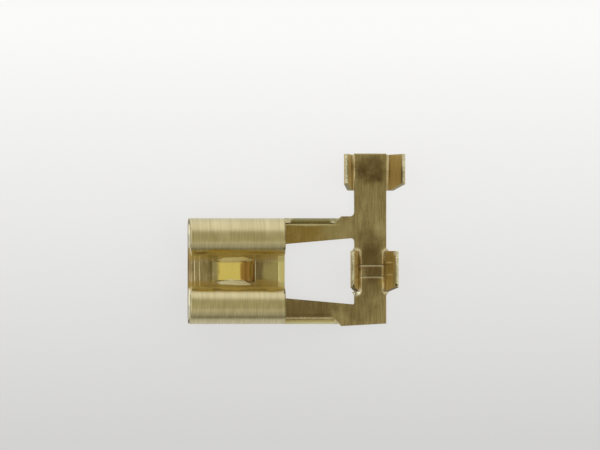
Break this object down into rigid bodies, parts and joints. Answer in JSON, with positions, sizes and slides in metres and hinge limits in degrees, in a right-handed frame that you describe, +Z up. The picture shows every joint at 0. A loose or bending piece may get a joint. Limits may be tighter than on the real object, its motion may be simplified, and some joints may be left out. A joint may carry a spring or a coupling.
{
  "type": "right-angle spade connector",
  "caption": "One-piece folded brass female spade receptacle with two arms to a right-angle crimp strip that carries a wire barrel and an insulation barrel.",
  "frame": {"origin": "where the male tab enters: mouth plane, centreline of the receptacle, top face of its floor", "axes": "+X from the mouth along the receptacle, +Y along the crimp strip toward the cable, +Z up from the floor to the open side of the barrels"},
  "size_m": [0.0152, 0.0123, 0.0041],
  "materials": {
    "brass": "satin rolled sheet, slightly tarnished, bright at folds and cut edges"
  },
  "bodies": {
    "root": {"spade_terminal": "brass"}
  },
  "joints": []
}
